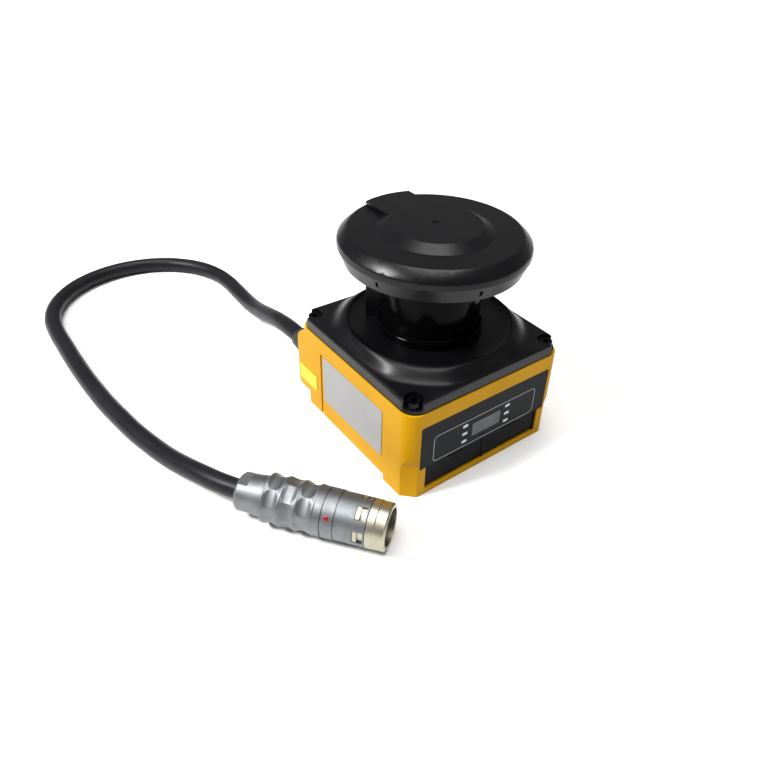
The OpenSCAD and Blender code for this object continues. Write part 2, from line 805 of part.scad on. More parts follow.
// Rotated profile of the window: a tube that stands on a rounded flange
module optical_window() {
    lip = 0.9;
    color("#0B0B0D", 0.92) difference() {
        rotate_extrude($fn = 96) polygon(concat(
            [[window_r - window_t, dish_z], [flange_r, dish_z], [flange_r, dish_z + flange_h - lip]],
            arc([flange_r - lip, dish_z + flange_h - lip], lip, 15, 90, 4),
            [[window_r + 0.3, dish_z + flange_h - 0.4], [window_r, dish_z + flange_h + 0.6],
             [window_r, window_top_z], [window_r - window_t, window_top_z]]));
        sector(spine_r, spine_half, dish_z - 1, window_h + 2);
    }
}

module window_seals() {
    color("#202022") difference() {
        union() {
            ring(window_r + 0.8, window_r - 1, dish_z - seal_t, seal_t);
            ring(window_r - 0.3, window_r - window_t + 0.3, window_top_z, seal_t);
        }
        sector(spine_r, spine_half + 1, dish_z - 2, window_h + 4);
    }
}

// Cast spine behind the window: it holds the cap up and guides the flexible board
module window_spine() {
    color(black) difference() {
        intersection() {
            ring(spine_r, spine_in_r, dish_z, window_h);
            sector(spine_r, spine_half - 0.2, dish_z - 1, window_h + 2);
        }
        flex_opening(dish_z - 1, window_top_z + 1);
        for (a = spine_screw_a) rotate([0, 0, a]) translate([spine_screw_r, 0, 0]) {
            translate([0, 0, dish_z - 1]) cylinder(r = m25_r + seat_gap, h = 8);
            translate([0, 0, window_top_z - 7]) cylinder(r = m25_r + seat_gap, h = 8);
        }
    }
}

module spine_screws() {
    color(steel) for (a = spine_screw_a) rotate([0, 0, a]) translate([spine_screw_r, 0, 0]) {
        translate([0, 0, dish_z - dish_floor_t]) rotate([180, 0, 0])
            screw(m25_r, dish_floor_t + 5.5, m25_head_r, m25_head_h);
        translate([0, 0, cap_floor_z - m25_head_h - 0.1]) screw(m25_r, 6, m25_head_r, m25_head_h);
    }
}

// Lower shell of the cap: a floor and a flaring wall with six narrow slots
module head_shell() {
    color(black) difference() {
        rotate_extrude($fn = 96) polygon(concat(
            [[mirror_r + 1.2, cap_floor_z], [mirror_r + 1.2, cap_z], [cap_low_r - 1.2, cap_z]],
            arc([cap_low_r - 1.2, cap_z + 1.2], 1.2, -75, 0, 4),
            [[cap_r - 0.2, parting_z], [cap_r - 0.2 - cap_t, parting_z],
             [cap_low_r - cap_t, cap_floor_z]]));
        for (i = [0:5]) rotate([0, 0, cap_slot_turn + 60 * i])
            box([cap_low_r - cap_t - 2, -0.6, cap_floor_z + 0.2], [cap_r + 1, 0.6, cap_floor_z + 2.6]);
        flex_opening(cap_z - 1, cap_floor_z + 1);
        ring(window_r - 0.3, window_r - window_t + 0.3, cap_z - 1, seal_t + 1);
        for (a = spine_screw_a) rotate([0, 0, a]) translate([spine_screw_r, 0, 0]) {
            translate([0, 0, cap_z - 1]) cylinder(r = m25_r + part_gap, h = 6);
            translate([0, 0, cap_floor_z - m25_head_h - 0.1]) cylinder(r = m25_head_r + part_gap, h = 4);
        }
        for (i = [0:3]) rotate([0, 0, 45 + 90 * i]) translate([cap_screw_r, 0, 0]) {
            translate([0, 0, cap_z - 1]) cylinder(r = m25_r + part_gap, h = 6);
            translate([0, 0, cap_z - 1]) cylinder(r = m25_head_r + part_gap, h = 1.1);
        }
        for (i = [0:2]) rotate([0, 0, 30 + 120 * i]) translate([motor_plate_r - 2.6, 0, cap_z + 0.8])
            cylinder(r = m2_r + seat_gap, h = 4);
    }
}

// Upper shell: a bevelled top with a raised disc and a raised tab to the back rim
module head_cap() {
    rim_z = cap_top_z - cap_step - cap_bevel;
    step_z = cap_top_z - cap_step;
    flat_r = cap_r - cap_bevel;
    lip_r = cap_r - cap_t - 1.2;
    color(black) difference() {
        union() {
            rotate_extrude($fn = 96) polygon([
                [0, cap_top_z], [disc_r, cap_top_z], [disc_foot_r, step_z], [flat_r - 0.6, step_z],
                [flat_r + 0.3, step_z - 0.35], [cap_r - 0.35, rim_z + 0.5], [cap_r, rim_z - 0.5],
                [cap_r, parting_z], [lip_r, parting_z], [lip_r, parting_z - 1.6],
                [lip_r - 0.9, parting_z - 1.6], [lip_r - 0.9, rim_z - 0.8],
                [flat_r - 0.4, step_z - cap_t],
                [disc_foot_r - 0.4, step_z - cap_t], [disc_r - 0.2, cap_top_z - cap_t],
                [0, cap_top_z - cap_t]]);
            intersection() {
                box([-tab_half_w, disc_r - 4, step_z - 0.5], [tab_half_w, cap_r, cap_top_z - tab_drop]);
                cylinder(r = flat_r - 0.8, h = cap_top_z - tab_drop, $fn = 96);
            }
            for (i = [0:3]) rotate([0, 0, 45 + 90 * i]) translate([cap_screw_r, 0, cap_floor_z])
                cylinder(r = 2.5, h = step_z - cap_floor_z - 0.5);
        }
        for (i = [0:3]) rotate([0, 0, 45 + 90 * i]) translate([cap_screw_r, 0, cap_floor_z - 1])
            cylinder(r = m25_r + seat_gap, h = 7);
        translate([0, 0, cap_top_z - dimple_depth]) cylinder(r = dimple_r, h = 1);
        // Groove beside the tab's left edge
        box([-tab_half_w - 0.1, disc_foot_r - 2, step_z - 0.3], [-tab_half_w + 0.9, cap_r + 1, step_z + 0.9]);
    }
}

module cap_screws() {
    color(steel) for (i = [0:3]) rotate([0, 0, 45 + 90 * i]) translate([cap_screw_r, 0, cap_z + 0.1])
        rotate([180, 0, 0]) screw(m25_r, 7, m25_head_r, 0.9);
}

// --- Scan motor, encoder and mirror ---

module motor_plate() {
    color("#A9ACB0") difference() {
        union() {
            translate([0, 0, cap_floor_z]) cylinder(r = motor_plate_r, h = motor_plate_t);
            translate([0, 0, tube_z]) cylinder(r = tube_r, h = tube_top_z - tube_z);
        }
        translate([0, 0, tube_z - 1]) cylinder(r = bearing_r - 0.8, h = 20);
        translate([0, 0, tube_z - 1]) cylinder(r = bearing_r + seat_gap, h = bearing_h + 1.1);
        translate([0, 0, tube_top_z - bearing_h - 0.1]) cylinder(r = bearing_r + seat_gap, h = 10);
        flex_opening(cap_floor_z - 1, motor_top_z + 1);
        for (i = [0:2]) rotate([0, 0, 30 + 120 * i]) translate([motor_plate_r - 2.6, 0, cap_z])
            cylinder(r = m2_r + part_gap, h = 8);
    }
}

module motor_plate_screws() {
    color(steel) for (i = [0:2]) rotate([0, 0, 30 + 120 * i])
        translate([motor_plate_r - 2.6, 0, motor_top_z + board_t]) screw(m2_r, 4.6, m2_head_r, m2_head_h);
}

module motor_board() {
    color(board_green) difference() {
        ring(motor_plate_r - 0.2, cup_r + 1.6, motor_top_z, board_t);
        flex_opening(motor_top_z - 1, motor_top_z + 3);
        for (i = [0:2]) rotate([0, 0, 30 + 120 * i]) translate([motor_plate_r - 2.6, 0, motor_top_z - 1])
            cylinder(r = m2_r + part_gap, h = 4);
    }
}

module stator_core() {
    color("#74777B") difference() {
        union() {
            translate([0, 0, stator_z]) cylinder(r = tube_r + 1.8, h = stator_h);
            for (i = [0:teeth - 1]) rotate([0, 0, 360 * i / teeth]) {
                box([tube_r + 1, -1, stator_z], [stator_r - 1, 1, stator_z + stator_h]);
                intersection() {
                    ring(stator_r, stator_r - 1.2, stator_z, stator_h);
                    box([0, -4, stator_z - 1], [stator_r + 1, 4, stator_z + stator_h + 1]);
                }
            }
        }
        translate([0, 0, stator_z - 1]) cylinder(r = tube_r + seat_gap, h = stator_h + 2);
    }
}

module stator_coils() {
    color(copper) for (i = [0:teeth - 1]) rotate([0, 0, 360 * i / teeth]) difference() {
        box([tube_r + 2.3, -1.9, stator_z - 0.6], [stator_r - 1.6, 1.9, stator_z + stator_h + 0.6]);
        box([tube_r, -1.02, stator_z - 0.02], [stator_r, 1.02, stator_z + stator_h + 0.02]);
    }
}

module spindle_bearing(z) {
    ring(bearing_r, bearing_r - 1, z, bearing_h);
    ring(shaft_r + 1, shaft_r + run_gap, z, bearing_h);
    ring(bearing_r - 0.9, shaft_r + 0.9, z + 0.4, bearing_h - 0.8);
}

module spindle_bearings() {
    color("#C7CACD") {
        spindle_bearing(tube_z + 0.1);
        spindle_bearing(tube_top_z - bearing_h);
    }
}

module rotor_shaft() {
    color(steel) translate([0, 0, carrier_top_z - 6]) cylinder(r = shaft_r, h = cup_top_z - carrier_top_z + 6);
}

module rotor_cup() {
    color("#8B8E92") difference() {
        translate([0, 0, cup_z]) cylinder(r = cup_r, h = cup_top_z - cup_z);
        translate([0, 0, cup_z - 1]) cylinder(r = cup_r - cup_t, h = cup_top_z - cup_t - cup_z + 1);
        translate([0, 0, cup_z]) cylinder(r = shaft_r + seat_gap, h = 20);
    }
}

module rotor_magnets() {
    color("#3C3E42") ring(cup_r - cup_t, cup_r - cup_t - magnet_t, stator_z - 0.2, stator_h + 0.4);
}

module encoder_disc() {
    color("#B5B7B9") difference() {
        ring(encoder_r, cup_r, disc_z, 0.5);
        for (i = [0:23]) rotate([0, 0, 15 * i])
            box([cup_r + 2, -0.5, disc_z - 1], [encoder_r - 0.6, 0.5, disc_z + 1]);
    }
}

// Fork-shaped light barrier that straddles the disc
module encoder_sensor() {
    color("#17181A") difference() {
        box([cup_r + 2.8, -3, motor_top_z + board_t], [encoder_r + 3.4, 3, disc_z + 2.2]);
        box([cup_r, -4, disc_z - 0.6], [encoder_r + 0.6, 4, disc_z + 1.1]);
    }
}

// Round carrier cut at 45 degrees, with the mirror on the slope
module carrier_below(shift) {
    translate([0, 0, mirror_z]) rotate([0, 45, 0])
        translate([-60, -40, -60 + shift]) cube([120, 80, 60]);
}

module mirror_carrier() {
    color("#2B2C2F") difference() {
        translate([0, 0, mirror_z - mirror_r]) cylinder(r = mirror_r, h = carrier_top_z - mirror_z + mirror_r, $fn = 64);
        carrier_below(0);
        translate([0, 0, carrier_top_z - 6]) cylinder(r = shaft_r + seat_gap, h = 10);
        translate([mirror_r - 4.5, -1.5, carrier_top_z - 2]) cube([2.6, 3, 3]);
    }
}

module scan_mirror() {
    color("#DDE3E8") difference() {
        intersection() {
            translate([0, 0, mirror_z - mirror_r - 4])
                cylinder(r = mirror_r - 0.3, h = 2 * mirror_r + 8, $fn = 64);
            carrier_below(0);
        }
        carrier_below(-mirror_t);
    }
}

// --- Optics and boards in the housing ---

module lens_barrel() {
    color("#202124") union() {
        ring(barrel_r, lens_r + 0.1, barrel_z, barrel_top_z - barrel_z);
        ring(barrel_r + 2.4, barrel_r - 1, barrel_z, 1.5);
        ring(lens_r + 0.3, lens_r - 1.4, lens_z - 1, 1);
        for (i = [0:2]) rotate([0, 0, 120 * i])
            box([laser_r + 0.6, -0.6, laser_z + 2], [lens_r + 0.5, 0.6, laser_z + 8]);
        ring(laser_r + 1.4, laser_r + seat_gap, laser_z + 2, 6);
    }
}

module receiving_lens() {
    inner = laser_r + part_gap;
    color("#D7E6EA", 0.5) rotate_extrude() polygon(concat(
        [[inner, lens_z], [lens_r, lens_z]],
        [for (i = [0:6]) let (r = lens_r + (inner - lens_r) * i / 6)
            [r, lens_z + 2.4 + 2 * (1 - pow(r / lens_r, 2))]]));
}

// Laser diode and its collimating lens in one tube on the axis
module laser_module() {
    color("#B08D3C") ring(laser_r, laser_r - 1, laser_z, barrel_top_z - laser_z);
    color("#8C8F93") translate([0, 0, laser_z + 1]) cylinder(r = laser_r - 1 + e, h = 6);
    color("#CFE0E6") translate([0, 0, barrel_top_z - 3]) cylinder(r = laser_r - 1 + e, h = 1.6);
}

module receiver_board() {
    color(board_green) difference() {
        box([-receiver_half, -receiver_half, receiver_z], [receiver_half, receiver_half, receiver_z + pcb_t]);
        for (x = [-1, 1] * receiver_post, y = [-1, 1] * receiver_post)
            translate([x, y, receiver_z - 1]) cylinder(r = m2_r + part_gap, h = 5);
    }
    color("#C9A45A") translate([0, 0, receiver_z + pcb_t - e]) cylinder(r = 2.7, h = 3.4);
}

module main_board() {
    color(board_green) difference() {
        box([-main_x, main_y[0], main_z], [main_x, main_y[1], main_z + pcb_t]);
        for (x = [-1, 1] * post_x, y = [-1, 1] * post_y)
            translate([x, y, main_z - 1]) cylinder(r = m2_r + part_gap, h = 5);
        for (x = [-1, 1] * receiver_post, y = [-1, 1] * receiver_post)
            translate([x, y, main_z - 1]) cylinder(r = m2_r + part_gap, h = 5);
    }
    top = main_z + pcb_t - e;
    color("#1C1D1F") {
        box([-13, -9, top], [3, 7, top + 1.6]);
        box([7, -8, top], [15, 4, top + 1.2]);
    }
    color("#D9D5C8") {
        box([gland_x - 3.2, header_y - 6.4, top], [gland_x + 3.2, header_y, gland_z + 3]);
        box([-flex_w / 2 - 1.5, flex_y - 1.6, top], [flex_w / 2 + 1.5, min(flex_y + 1.6, main_y[1]), top + 2.2]);
    }
}

module board_standoffs() {
    color("#C8B060") {
        for (x = [-1, 1] * post_x, y = [-1, 1] * post_y) translate([x, y, plate_t]) difference() {
            cylinder(r = 2.5, h = main_z - plate_t, $fn = 6);
            translate([0, 0, 4]) cylinder(r = m2_r + seat_gap, h = 20);
        }
        for (x = [-1, 1] * receiver_post, y = [-1, 1] * receiver_post)
            translate([x, y, main_z + pcb_t]) difference() {
                cylinder(r = 2.3, h = receiver_z - main_z - pcb_t, $fn = 6);
                translate([0, 0, -1]) cylinder(r = m2_r + seat_gap, h = 20);
            }
    }
}

module board_screws() {
    color(steel) {
        for (x = [-1, 1] * post_x, y = [-1, 1] * post_y)
            translate([x, y, main_z + pcb_t]) screw(m2_r, 6, m2_head_r, m2_head_h);
        for (x = [-1, 1] * receiver_post, y = [-1, 1] * receiver_post) {
            translate([x, y, receiver_z + pcb_t]) screw(m2_r, 5, m2_head_r, m2_head_h);
            translate([x, y, main_z]) rotate([180, 0, 0]) screw(m2_r, 5, m2_head_r, m2_head_h);
        }
    }
}

// Flexible board from the main board up the spine to the motor board, with its sockets
module head_flex() {
    low = main_z + pcb_t + 2.2 - e;
    high = motor_top_z + board_t;
    color("#C77A2E") box([-flex_w / 2, flex_y - flex_t / 2, low], [flex_w / 2, flex_y + flex_t / 2, high + 1]);
    color("#D9D5C8") box([-flex_w / 2 - 1.5, flex_y - 1.2, high], [flex_w / 2 + 1.5, flex_y + 1.4, high + 1.8]);
}

// --- Cable entry ---

module gland_axis(y) {
    translate([gland_x, y, gland_z]) rotate([-90, 0, 0]) children();
}

module cable_gland() {
    bore = cable_d / 2 + seat_gap;
    color("#2C2C2F") difference() {
        union() {
            gland_axis(back_y - 4.6) cylinder(r = gland_r, h = block_y - back_y + 4.6 + e);
            gland_axis(block_y) cylinder(r = gland_nut_r, h = gland_nut_len, $fn = 6);
            gland_axis(block_y - wall_t - 3.2) cylinder(r = gland_nut_r, h = 3.2, $fn = 6);
        }
        gland_axis(0) cylinder(r = bore, h = housing_d);
    }
}

module strain_relief() {
    color("#151517") difference() {
        gland_axis(boot_y) cylinder(r1 = cable_d / 2 + 1.9, r2 = cable_d / 2 + 0.8, h = boot_len);
        gland_axis(0) cylinder(r = cable_d / 2 + seat_gap, h = housing_d);
    }
}

// The lead inside the gland and its five cores, which end in the board's header
module inner_lead() {
    color("#141416") gland_axis(lead_in_y) cylinder(r = cable_d / 2, h = boot_y + boot_len - lead_in_y);
    color("#B43A2E") for (i = [0:4])
        gland_axis(header_y) rotate([0, 0, 72 * i]) translate([cable_d / 4, 0, 0])
            cylinder(r = 0.6, h = lead_in_y - header_y + e);
}

// Direction of the route at a point, from its neighbours
function unit(v) = v / norm(v);
function heading(i) =
    i == 0 ? [0, 1, 0]
    : i == len(route) - 1 ? [cos(plug_turn), sin(plug_turn), 0]
    : unit(route[i + 1] - route[i - 1]);
function level_side(t) = unit(cross(t, [0, 0, 1]));
function cable_ring(i) =
    let (t = heading(i), s = level_side(t), u = cross(s, t))
    [for (k = [0:cable_sides - 1]) let (a = 360 * k / cable_sides)
        route[i] + cable_d / 2 * (cos(a) * s + sin(a) * u)];

module cable() {
    rings = len(route);
    n = cable_sides;
    points = [for (i = [0:rings - 1]) each cable_ring(i)];
    walls = [for (i = [0:rings - 2], k = [0:n - 1])
        [i * n + k, i * n + (k + 1) % n, (i + 1) * n + (k + 1) % n, (i + 1) * n + k]];
    first = [for (k = [0:n - 1]) n - 1 - k];
    last = [for (k = [0:n - 1]) (rings - 1) * n + k];
    color("#131315") polyhedron(points, concat([first], walls, [last]), convexity = 6);
}

// --- Plug ---

// Local +Z runs along the plug from the cable to its nose; +X of the turn points up
module on_plug() {
    translate(plug_at) rotate([0, 0, plug_turn]) rotate([0, 90, 0]) rotate([0, 0, 180]) children();
}

module plug_nut() {
    color(steel) on_plug() difference() {
        rotate_extrude() polygon([
            [cable_d / 2 + seat_gap, 0], [nut_r - 0.7, 0], [nut_r, 0.8], [nut_r, 4.6],
            [sleeve_in_r - 0.35, nut_len - 1.6], [sleeve_in_r - 0.35, nut_len],
            [core_r - 1.6, nut_len], [core_r - 1.6, 3.4], [cable_d / 2 + seat_gap, 3]]);
        for (s = [-1, 1]) translate([s * (nut_r - 0.7) - (s > 0 ? 0 : 4), -10, -1]) cube([4, 20, 5.4]);
    }
}

// Fixed core: thread under the nut, body under the sleeve, and the mating nose
module plug_body() {
    back_z = 3.6;
    color("#C9C3AE") on_plug() {
        rotate_extrude() polygon([
            [0, back_z], [core_r - 1.7, back_z], [core_r - 1.7, nut_len + 0.1],
            [core_r, nut_len + 0.1], [core_r, nose_z], [barrel_front_r, nose_z],
            [barrel_front_r, nose_z + 2.7], [nose_r, nose_z + 3], [nose_r, plug_len - 0.6],
            [nose_r - 0.6, plug_len], [socket_r, plug_len], [socket_r, plug_len - socket_len],
            [0, plug_len - socket_len]]);
        // Latch tips that stand in the sleeve's windows
        for (k = [0:5]) rotate([0, 0, mark_angle + 30 + 60 * k]) intersection() {
            ring(barrel_front_r - 0.15, core_r - 0.5, window_z + 0.2, window_len - sleeve_travel - 0.4);
            box([0, -window_half + 0.2, window_z], [plug_r, window_half - 0.2, window_z + window_len]);
        }
    }
}

// Release sleeve: three rows of scallops, two grooves and six latch windows
module plug_sleeve() {
    color(steel) on_plug() difference() {
        union() {
            translate([0, 0, sleeve_z0]) cylinder(r = barrel_front_r, h = sleeve_len);
            translate([0, 0, sleeve_z0]) cylinder(r = sleeve_r, h = groove_z[1] - sleeve_z0);
            for (i = [0:waves]) translate([0, 0, sleeve_z0 + wave_pitch * i])
                cylinder(r = plug_r, h = crest_len);
        }
        translate([0, 0, sleeve_z0 - 1]) cylinder(r = sleeve_in_r, h = sleeve_len + 2);
        for (i = [0:waves - 1], k = [0:7])
            translate([0, 0, sleeve_z0 + wave_pitch * (i + 0.5) + crest_len / 2])
                rotate([0, 0, 45 * k + 22.5 * (i % 2)]) translate([plug_r + 3.2, 0, 0])
                    sphere(r = 4.1, $fn = 24);
        for (z = groove_z) ring(plug_r + 1, barrel_front_r - 0.15, z, groove_w);
        for (k = [0:5]) rotate([0, 0, mark_angle + 30 + 60 * k])
            box([0, -window_half, window_z], [plug_r + 1, window_half, window_z + window_len]);
    }
    color("#B3261E") on_plug() rotate([0, 0, mark_angle]) translate([sleeve_r - 0.5, 0, mark_z])
        rotate([0, 90, 0]) cylinder(r = 1, h = 0.65);
}

module plug_contacts() {
    insert_len = 4;
    pin_len = 4;
    color("#2B2B2E") on_plug() translate([0, 0, plug_len - socket_len])
        cylinder(r = socket_r - seat_gap, h = insert_len);
    color("#D8B24A") on_plug() for (k = [0:7]) rotate([0, 0, 45 * k])
        translate([0.66 * socket_r, 0, plug_len - socket_len + insert_len - e])
            cylinder(r = 0.5, h = pin_len, $fn = 16);
}

housing();
base_plate();
base_plate_screws();
base_seal();
cable_block_cover();
cable_block_screws();
top_cover();
cover_seal();
cover_screws();
front_bezel();
panel_overlay();
display_window();
display_module();
indicator_light_pipes();
status_leds();
front_board();
front_board_screws();
config_port();
service_port();
port_cover_left();
port_cover_right();
port_hinge_pins();
rating_plate();
notice_plate();
optical_window();
window_seals();
window_spine();
spine_screws();
head_shell();
head_cap();
cap_screws();
motor_plate();
motor_plate_screws();
stator_core();
stator_coils();
spindle_bearings();
rotor_shaft();
rotor_cup();
rotor_magnets();
encoder_disc();
encoder_sensor();
motor_board();
mirror_carrier();
scan_mirror();
head_flex();
lens_barrel();
receiving_lens();
laser_module();
receiver_board();
main_board();
board_standoffs();
board_screws();
cable_gland();
strain_relief();
inner_lead();
cable();
plug_body();
plug_nut();
plug_sleeve();
plug_contacts();
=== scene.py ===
import math

import bmesh
import bpy
from mathutils import Matrix, Vector


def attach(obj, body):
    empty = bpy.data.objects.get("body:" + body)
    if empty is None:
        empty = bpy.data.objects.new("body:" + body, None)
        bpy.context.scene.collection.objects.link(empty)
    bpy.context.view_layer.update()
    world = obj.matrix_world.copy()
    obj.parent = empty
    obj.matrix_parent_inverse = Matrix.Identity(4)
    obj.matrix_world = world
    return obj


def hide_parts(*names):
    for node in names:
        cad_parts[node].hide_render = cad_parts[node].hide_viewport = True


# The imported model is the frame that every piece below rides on.
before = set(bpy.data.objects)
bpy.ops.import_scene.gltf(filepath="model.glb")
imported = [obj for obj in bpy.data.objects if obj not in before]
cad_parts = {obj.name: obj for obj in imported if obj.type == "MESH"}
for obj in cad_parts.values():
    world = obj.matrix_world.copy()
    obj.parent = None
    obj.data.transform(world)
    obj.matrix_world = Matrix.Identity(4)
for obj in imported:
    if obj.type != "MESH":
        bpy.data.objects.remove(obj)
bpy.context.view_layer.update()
MM = 0.001

# --- Camera ---
# A slightly wide lens, 30 cm away. It looks down over the scanner's front left corner and
# is turned a little about its own axis; the shift frames the cable's loop at the left.
CAMERA_AZIMUTH = -40.72
CAMERA_ELEVATION = 33.83
CAMERA_ROLL = 3.96
CAMERA_DISTANCE = 0.29819
CAMERA_TARGET = Vector((0, 0, 0.040))
camera = bpy.data.objects.new("camera", bpy.data.cameras.new("camera"))
bpy.context.scene.collection.objects.link(camera)
camera.data.sensor_width = 36
camera.data.lens = 32.47
camera.data.shift_x = -0.0576
camera.data.shift_y = -0.0566
camera.data.clip_start = 0.01
camera.matrix_world = (
    Matrix.Translation(CAMERA_TARGET)
    @ Matrix.Rotation(math.radians(CAMERA_AZIMUTH), 4, "Z")
    @ Matrix.Rotation(math.radians(90 - CAMERA_ELEVATION), 4, "X")
    @ Matrix.Rotation(math.radians(CAMERA_ROLL), 4, "Z")
    @ Matrix.Translation((0, 0, CAMERA_DISTANCE))
)
bpy.context.scene.camera = camera

# --- Cable ---
# An 8 mm round cable: five cores under an extruded black PVC jacket. It leaves the
# strain relief straight, sinks to the floor and lies there in one loose bend to the plug.
CABLE_D = 8 * MM
JACKET_PLAY = 0.05 * MM  # the jacket is drawn this much inside its solid
CABLE_ROUTE = [
    (-29.5, 59, 20), (-29.5, 69, 19.6), (-29.2, 79, 18), (-28.6, 89, 15.2),
    (-27.7, 99, 11.8), (-26.6, 109, 8.4), (-25.6, 119, 5.8), (-24.8, 129, 4.4),
    (-24.2, 141, 4), (-24, 153, 4), (-25.6, 165, 4), (-30.2, 176.3, 4),
    (-37.6, 185.9, 4), (-47.3, 193.3, 4), (-58.5, 197.9, 4), (-70.5, 199.5, 4),
    (-82.5, 197.9, 4), (-93.8, 193.3, 4), (-103.4, 185.9, 4), (-110.8, 176.3, 4),
    (-115.4, 165, 4), (-117, 153, 4), (-117.3, 136.5, 4), (-117.3, 120, 4),
    (-117, 107, 4), (-116.3, 94, 4), (-115.3, 81, 4), (-113.6, 68, 4),
    (-111.6, 55, 4), (-109.2, 43.5, 4.3), (-106.8, 32.5, 5.3), (-104.1, 22, 7),
    (-101, 12.3, 8.6), (-97.3, 3.1, 9.4), (-92.4, -5.6, 9.5),
]


def linear(hex_colour):
    """An sRGB hex colour as linear red, green, blue and alpha."""
    parts = [int(hex_colour[i : i + 2], 16) / 255 for i in (1, 3, 5)]
    return [p / 12.92 if p <= 0.04045 else ((p + 0.055) / 1.055) ** 2.4 for p in parts] + [1]


def add(tree, kind, inputs=None, **settings):
    """Adds a node; an input that is a socket is linked, any other is the socket's value."""
    node = tree.nodes.new("ShaderNode" + kind)
    for name, value in settings.items():
        setattr(node, name, value)
    for name, value in (inputs or {}).items():
        if isinstance(value, bpy.types.NodeSocket):
            tree.links.new(value, node.inputs[name])
        else:
            node.inputs[name].default_value = value
    return node


def surface(name, colour, worn_colour, rough, grain, relief, mottle=12.0, smudge=0.06, **shader):
    """A finish with fine grain (mm across, relief mm deep), and patches that differ a little
    in colour and gloss (mottle mm across), as handling and the process leave them. A real
    grain finer than 0.15 mm would not show, and is drawn 0.15 to 0.3 mm across."""
    material = bpy.data.materials.new(name)
    material.use_nodes = True
    tree = material.node_tree
    tree.nodes.clear()
    principled = add(tree, "BsdfPrincipled", shader)
    add(tree, "OutputMaterial", {"Surface": principled.outputs[0]})
    place = add(tree, "TexCoord").outputs["Object"]
    patches = add(tree, "TexNoise", {
        "Vector": place, "Scale": 1000 / mottle, "Detail": 4.0, "Roughness": 0.6,
    }).outputs["Fac"]
    fine = add(tree, "TexNoise", {
        "Vector": place, "Scale": 1000 / grain, "Detail": 3.0, "Roughness": 0.55,
    }).outputs["Fac"]
    blend = add(tree, "MapRange", {"Value": patches, "From Min": 0.35, "From Max": 0.7}).outputs[0]
    # Sockets 0, 6 and 7 of a colour mix are its factor and its two colours; output 2 is the colour.
    mixed = add(tree, "Mix", {0: blend, 6: linear(colour), 7: linear(worn_colour)}, data_type="RGBA")
    tree.links.new(mixed.outputs[2], principled.inputs["Base Color"])
    gloss = add(tree, "MapRange", {
        "Value": patches, "From Min": 0.3, "From Max": 0.75,
        "To Min": rough - smudge, "To Max": rough + smudge,
    })
    tree.links.new(gloss.outputs[0], principled.inputs["Roughness"])
    bump = add(tree, "Bump", {"Height": fine, "Distance": relief * MM, "Strength": 1.0})
    tree.links.new(bump.outputs[0], principled.inputs["Normal"])
    return material


# Extruded PVC: satin black with a fine drag grain that breaks the highlight along the cable.
pvc_jacket = surface(
    "extruded_pvc", "#151518", "#19191C", 0.4, 0.5, 0.02, mottle=18, **{"Specular IOR Level": 0.14})

line = bpy.data.curves.new("cable_jacket", "CURVE")
line.dimensions = "3D"
line.bevel_depth = CABLE_D / 2 - JACKET_PLAY
line.bevel_resolution = 8
line.use_fill_caps = True
line.resolution_u = 10
spline = line.splines.new("BEZIER")
spline.bezier_points.add(len(CABLE_ROUTE) - 1)
for point, place in zip(spline.bezier_points, CABLE_ROUTE):
    point.co = Vector(place) * MM
    point.handle_left_type = point.handle_right_type = "AUTO"
line.materials.append(pvc_jacket)
cable = bpy.data.objects.new("cable_jacket", line)
bpy.context.scene.collection.objects.link(cable)
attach(cable, "base")
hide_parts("cable")


# --- Housing ---
# A die-cast aluminium box with the cable block at its back and a small screwed cover on
# the block. Both are degreased, powder coated in signal yellow and baked.
def round_edges(piece, edge, angle, segments=3):
    """Rounds a piece's sharp edges to edge mm and evens its shading."""
    rounding = piece.modifiers.new("rounding", "BEVEL")
    rounding.width = edge * MM
    rounding.segments = segments
    rounding.limit_method = "ANGLE"
    rounding.angle_limit = math.radians(angle)
    rounding.use_clamp_overlap = True
    normals = piece.modifiers.new("normals", "WEIGHTED_NORMAL")
    normals.keep_sharp = True


def dress(names, material, edge=0.0, angle=32):
    """Gives CAD nodes their finish, and rounds their sharp edges to edge mm."""
    for name in names:
        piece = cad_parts[name]
        piece.data.materials.clear()
        piece.data.materials.append(material)
        if edge:
            weld = piece.modifiers.new("weld", "WELD")
            weld.merge_threshold = 0.001 * MM
            round_edges(piece, edge, angle)


# Powder coat: an even signal yellow with a low sheen, and the faint orange peel of baking,
# nearly a millimetre from crest to crest.
powder_coat = surface(
    "powder_coated_aluminium", "#BA8901", "#B28201", 0.42, 0.9, 0.012, mottle=25,
    **{"Specular IOR Level": 0.06})
dress(["housing"], powder_coat, 0.35)
dress(["cable_block_cover"], powder_coat, 0.25)

# --- Base plate ---
# The flat bottom is a milled aluminium plate with four bosses, screwed on from below. It
# is tumbled after milling, so its edges are soft and its faces are evenly dull.
# Tumbled aluminium: pale grey metal with a short random scratch grain and no direction.
tumbled_aluminium = surface(
    "tumbled_aluminium", "#9A9DA1", "#84878B", 0.42, 0.4, 0.02, mottle=8, Metallic=1.0)
dress(["base_plate"], tumbled_aluminium, 0.2)

# --- Small screws and hinge pins ---
# Standard steel screws and drawn steel pins. All but the cover's screws are bright zinc
# plated; they hold the base plate, the block's cover, the boards, the motor and the cap.
# Bright zinc: light bluish grey, with slightly clouded reflections.
zinc_plate = surface("zinc_plated_steel", "#B6B9BC", "#9DA1A6", 0.3, 0.3, 0.008, mottle=3, Metallic=1.0)
dress(["base_plate_screws", "cable_block_screws", "front_board_screws", "port_hinge_pins",
       "motor_plate_screws", "spine_screws", "board_screws", "cap_screws"], zinc_plate, 0.08)

